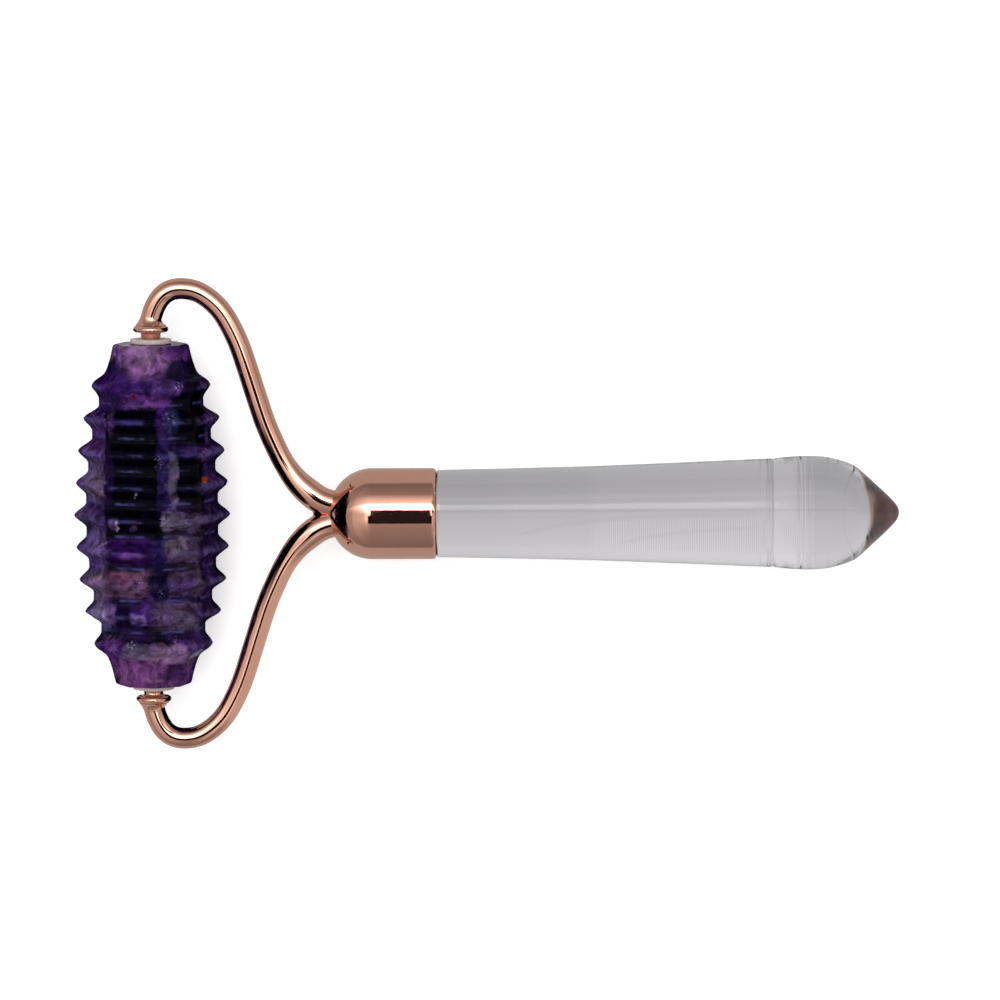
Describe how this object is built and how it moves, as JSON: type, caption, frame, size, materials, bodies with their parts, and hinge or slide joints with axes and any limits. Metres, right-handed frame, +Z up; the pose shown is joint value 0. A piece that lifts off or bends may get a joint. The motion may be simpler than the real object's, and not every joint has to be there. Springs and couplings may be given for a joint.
{
  "type": "spiked stone facial roller",
  "caption": "Hand-held facial massage roller: a spiked octagonal purple stone turning in a rose gold wire yoke, on a tapered clear crystal handle.",
  "frame": {"origin": "middle of the footprint on the surface the tool lies on, at z = 0", "axes": "+X along the handle towards its point, +Y along the roller's axis, +Z up from the surface"},
  "size_m": [0.1402, 0.0806, 0.0265],
  "materials": {
    "amethyst": "polished banded amethyst",
    "nylon_bush": "natural nylon",
    "nylon_white": "milky translucent nylon",
    "steel": "turned",
    "rose_gold": "rose gold plated, mirror polished",
    "rose_gold_collar": "rose gold plated, polished",
    "rose_gold_cap": "rose gold plated, mirror polished",
    "solder": "as cast",
    "clear_glue": "clear epoxy",
    "clear_crystal": "clear, turned and polished"
  },
  "bodies": {
    "frame": {"upper_arm": "rose_gold", "lower_arm": "rose_gold", "upper_collar": "rose_gold_collar", "lower_collar": "rose_gold_collar", "upper_pin": "steel", "lower_pin": "steel", "ferrule_cap": "rose_gold_cap", "arm_root_solder": "solder", "handle_adhesive": "clear_glue", "handle_crystal": "clear_crystal"},
    "roller": {"roller_stone": "amethyst", "upper_bush": "nylon_bush", "lower_bush": "nylon_bush"},
    "upper_washer_body": {"upper_washer": "nylon_white"},
    "lower_washer_body": {"lower_washer": "nylon_white"}
  },
  "joints": [
    {"name": "roller_spin", "type": "hinge", "parent": "frame", "child": "roller", "pos_m": [-0.05683, 0, 0.01326], "axis": [0, 1, 0], "continuous": true},
    {"name": "upper_washer_spin", "type": "hinge", "parent": "frame", "child": "upper_washer_body", "pos_m": [-0.05683, 0.02955, 0.01326], "axis": [0, 1, 0], "continuous": true},
    {"name": "lower_washer_spin", "type": "hinge", "parent": "frame", "child": "lower_washer_body", "pos_m": [-0.05683, -0.02955, 0.01326], "axis": [0, 1, 0], "continuous": true}
  ]
}
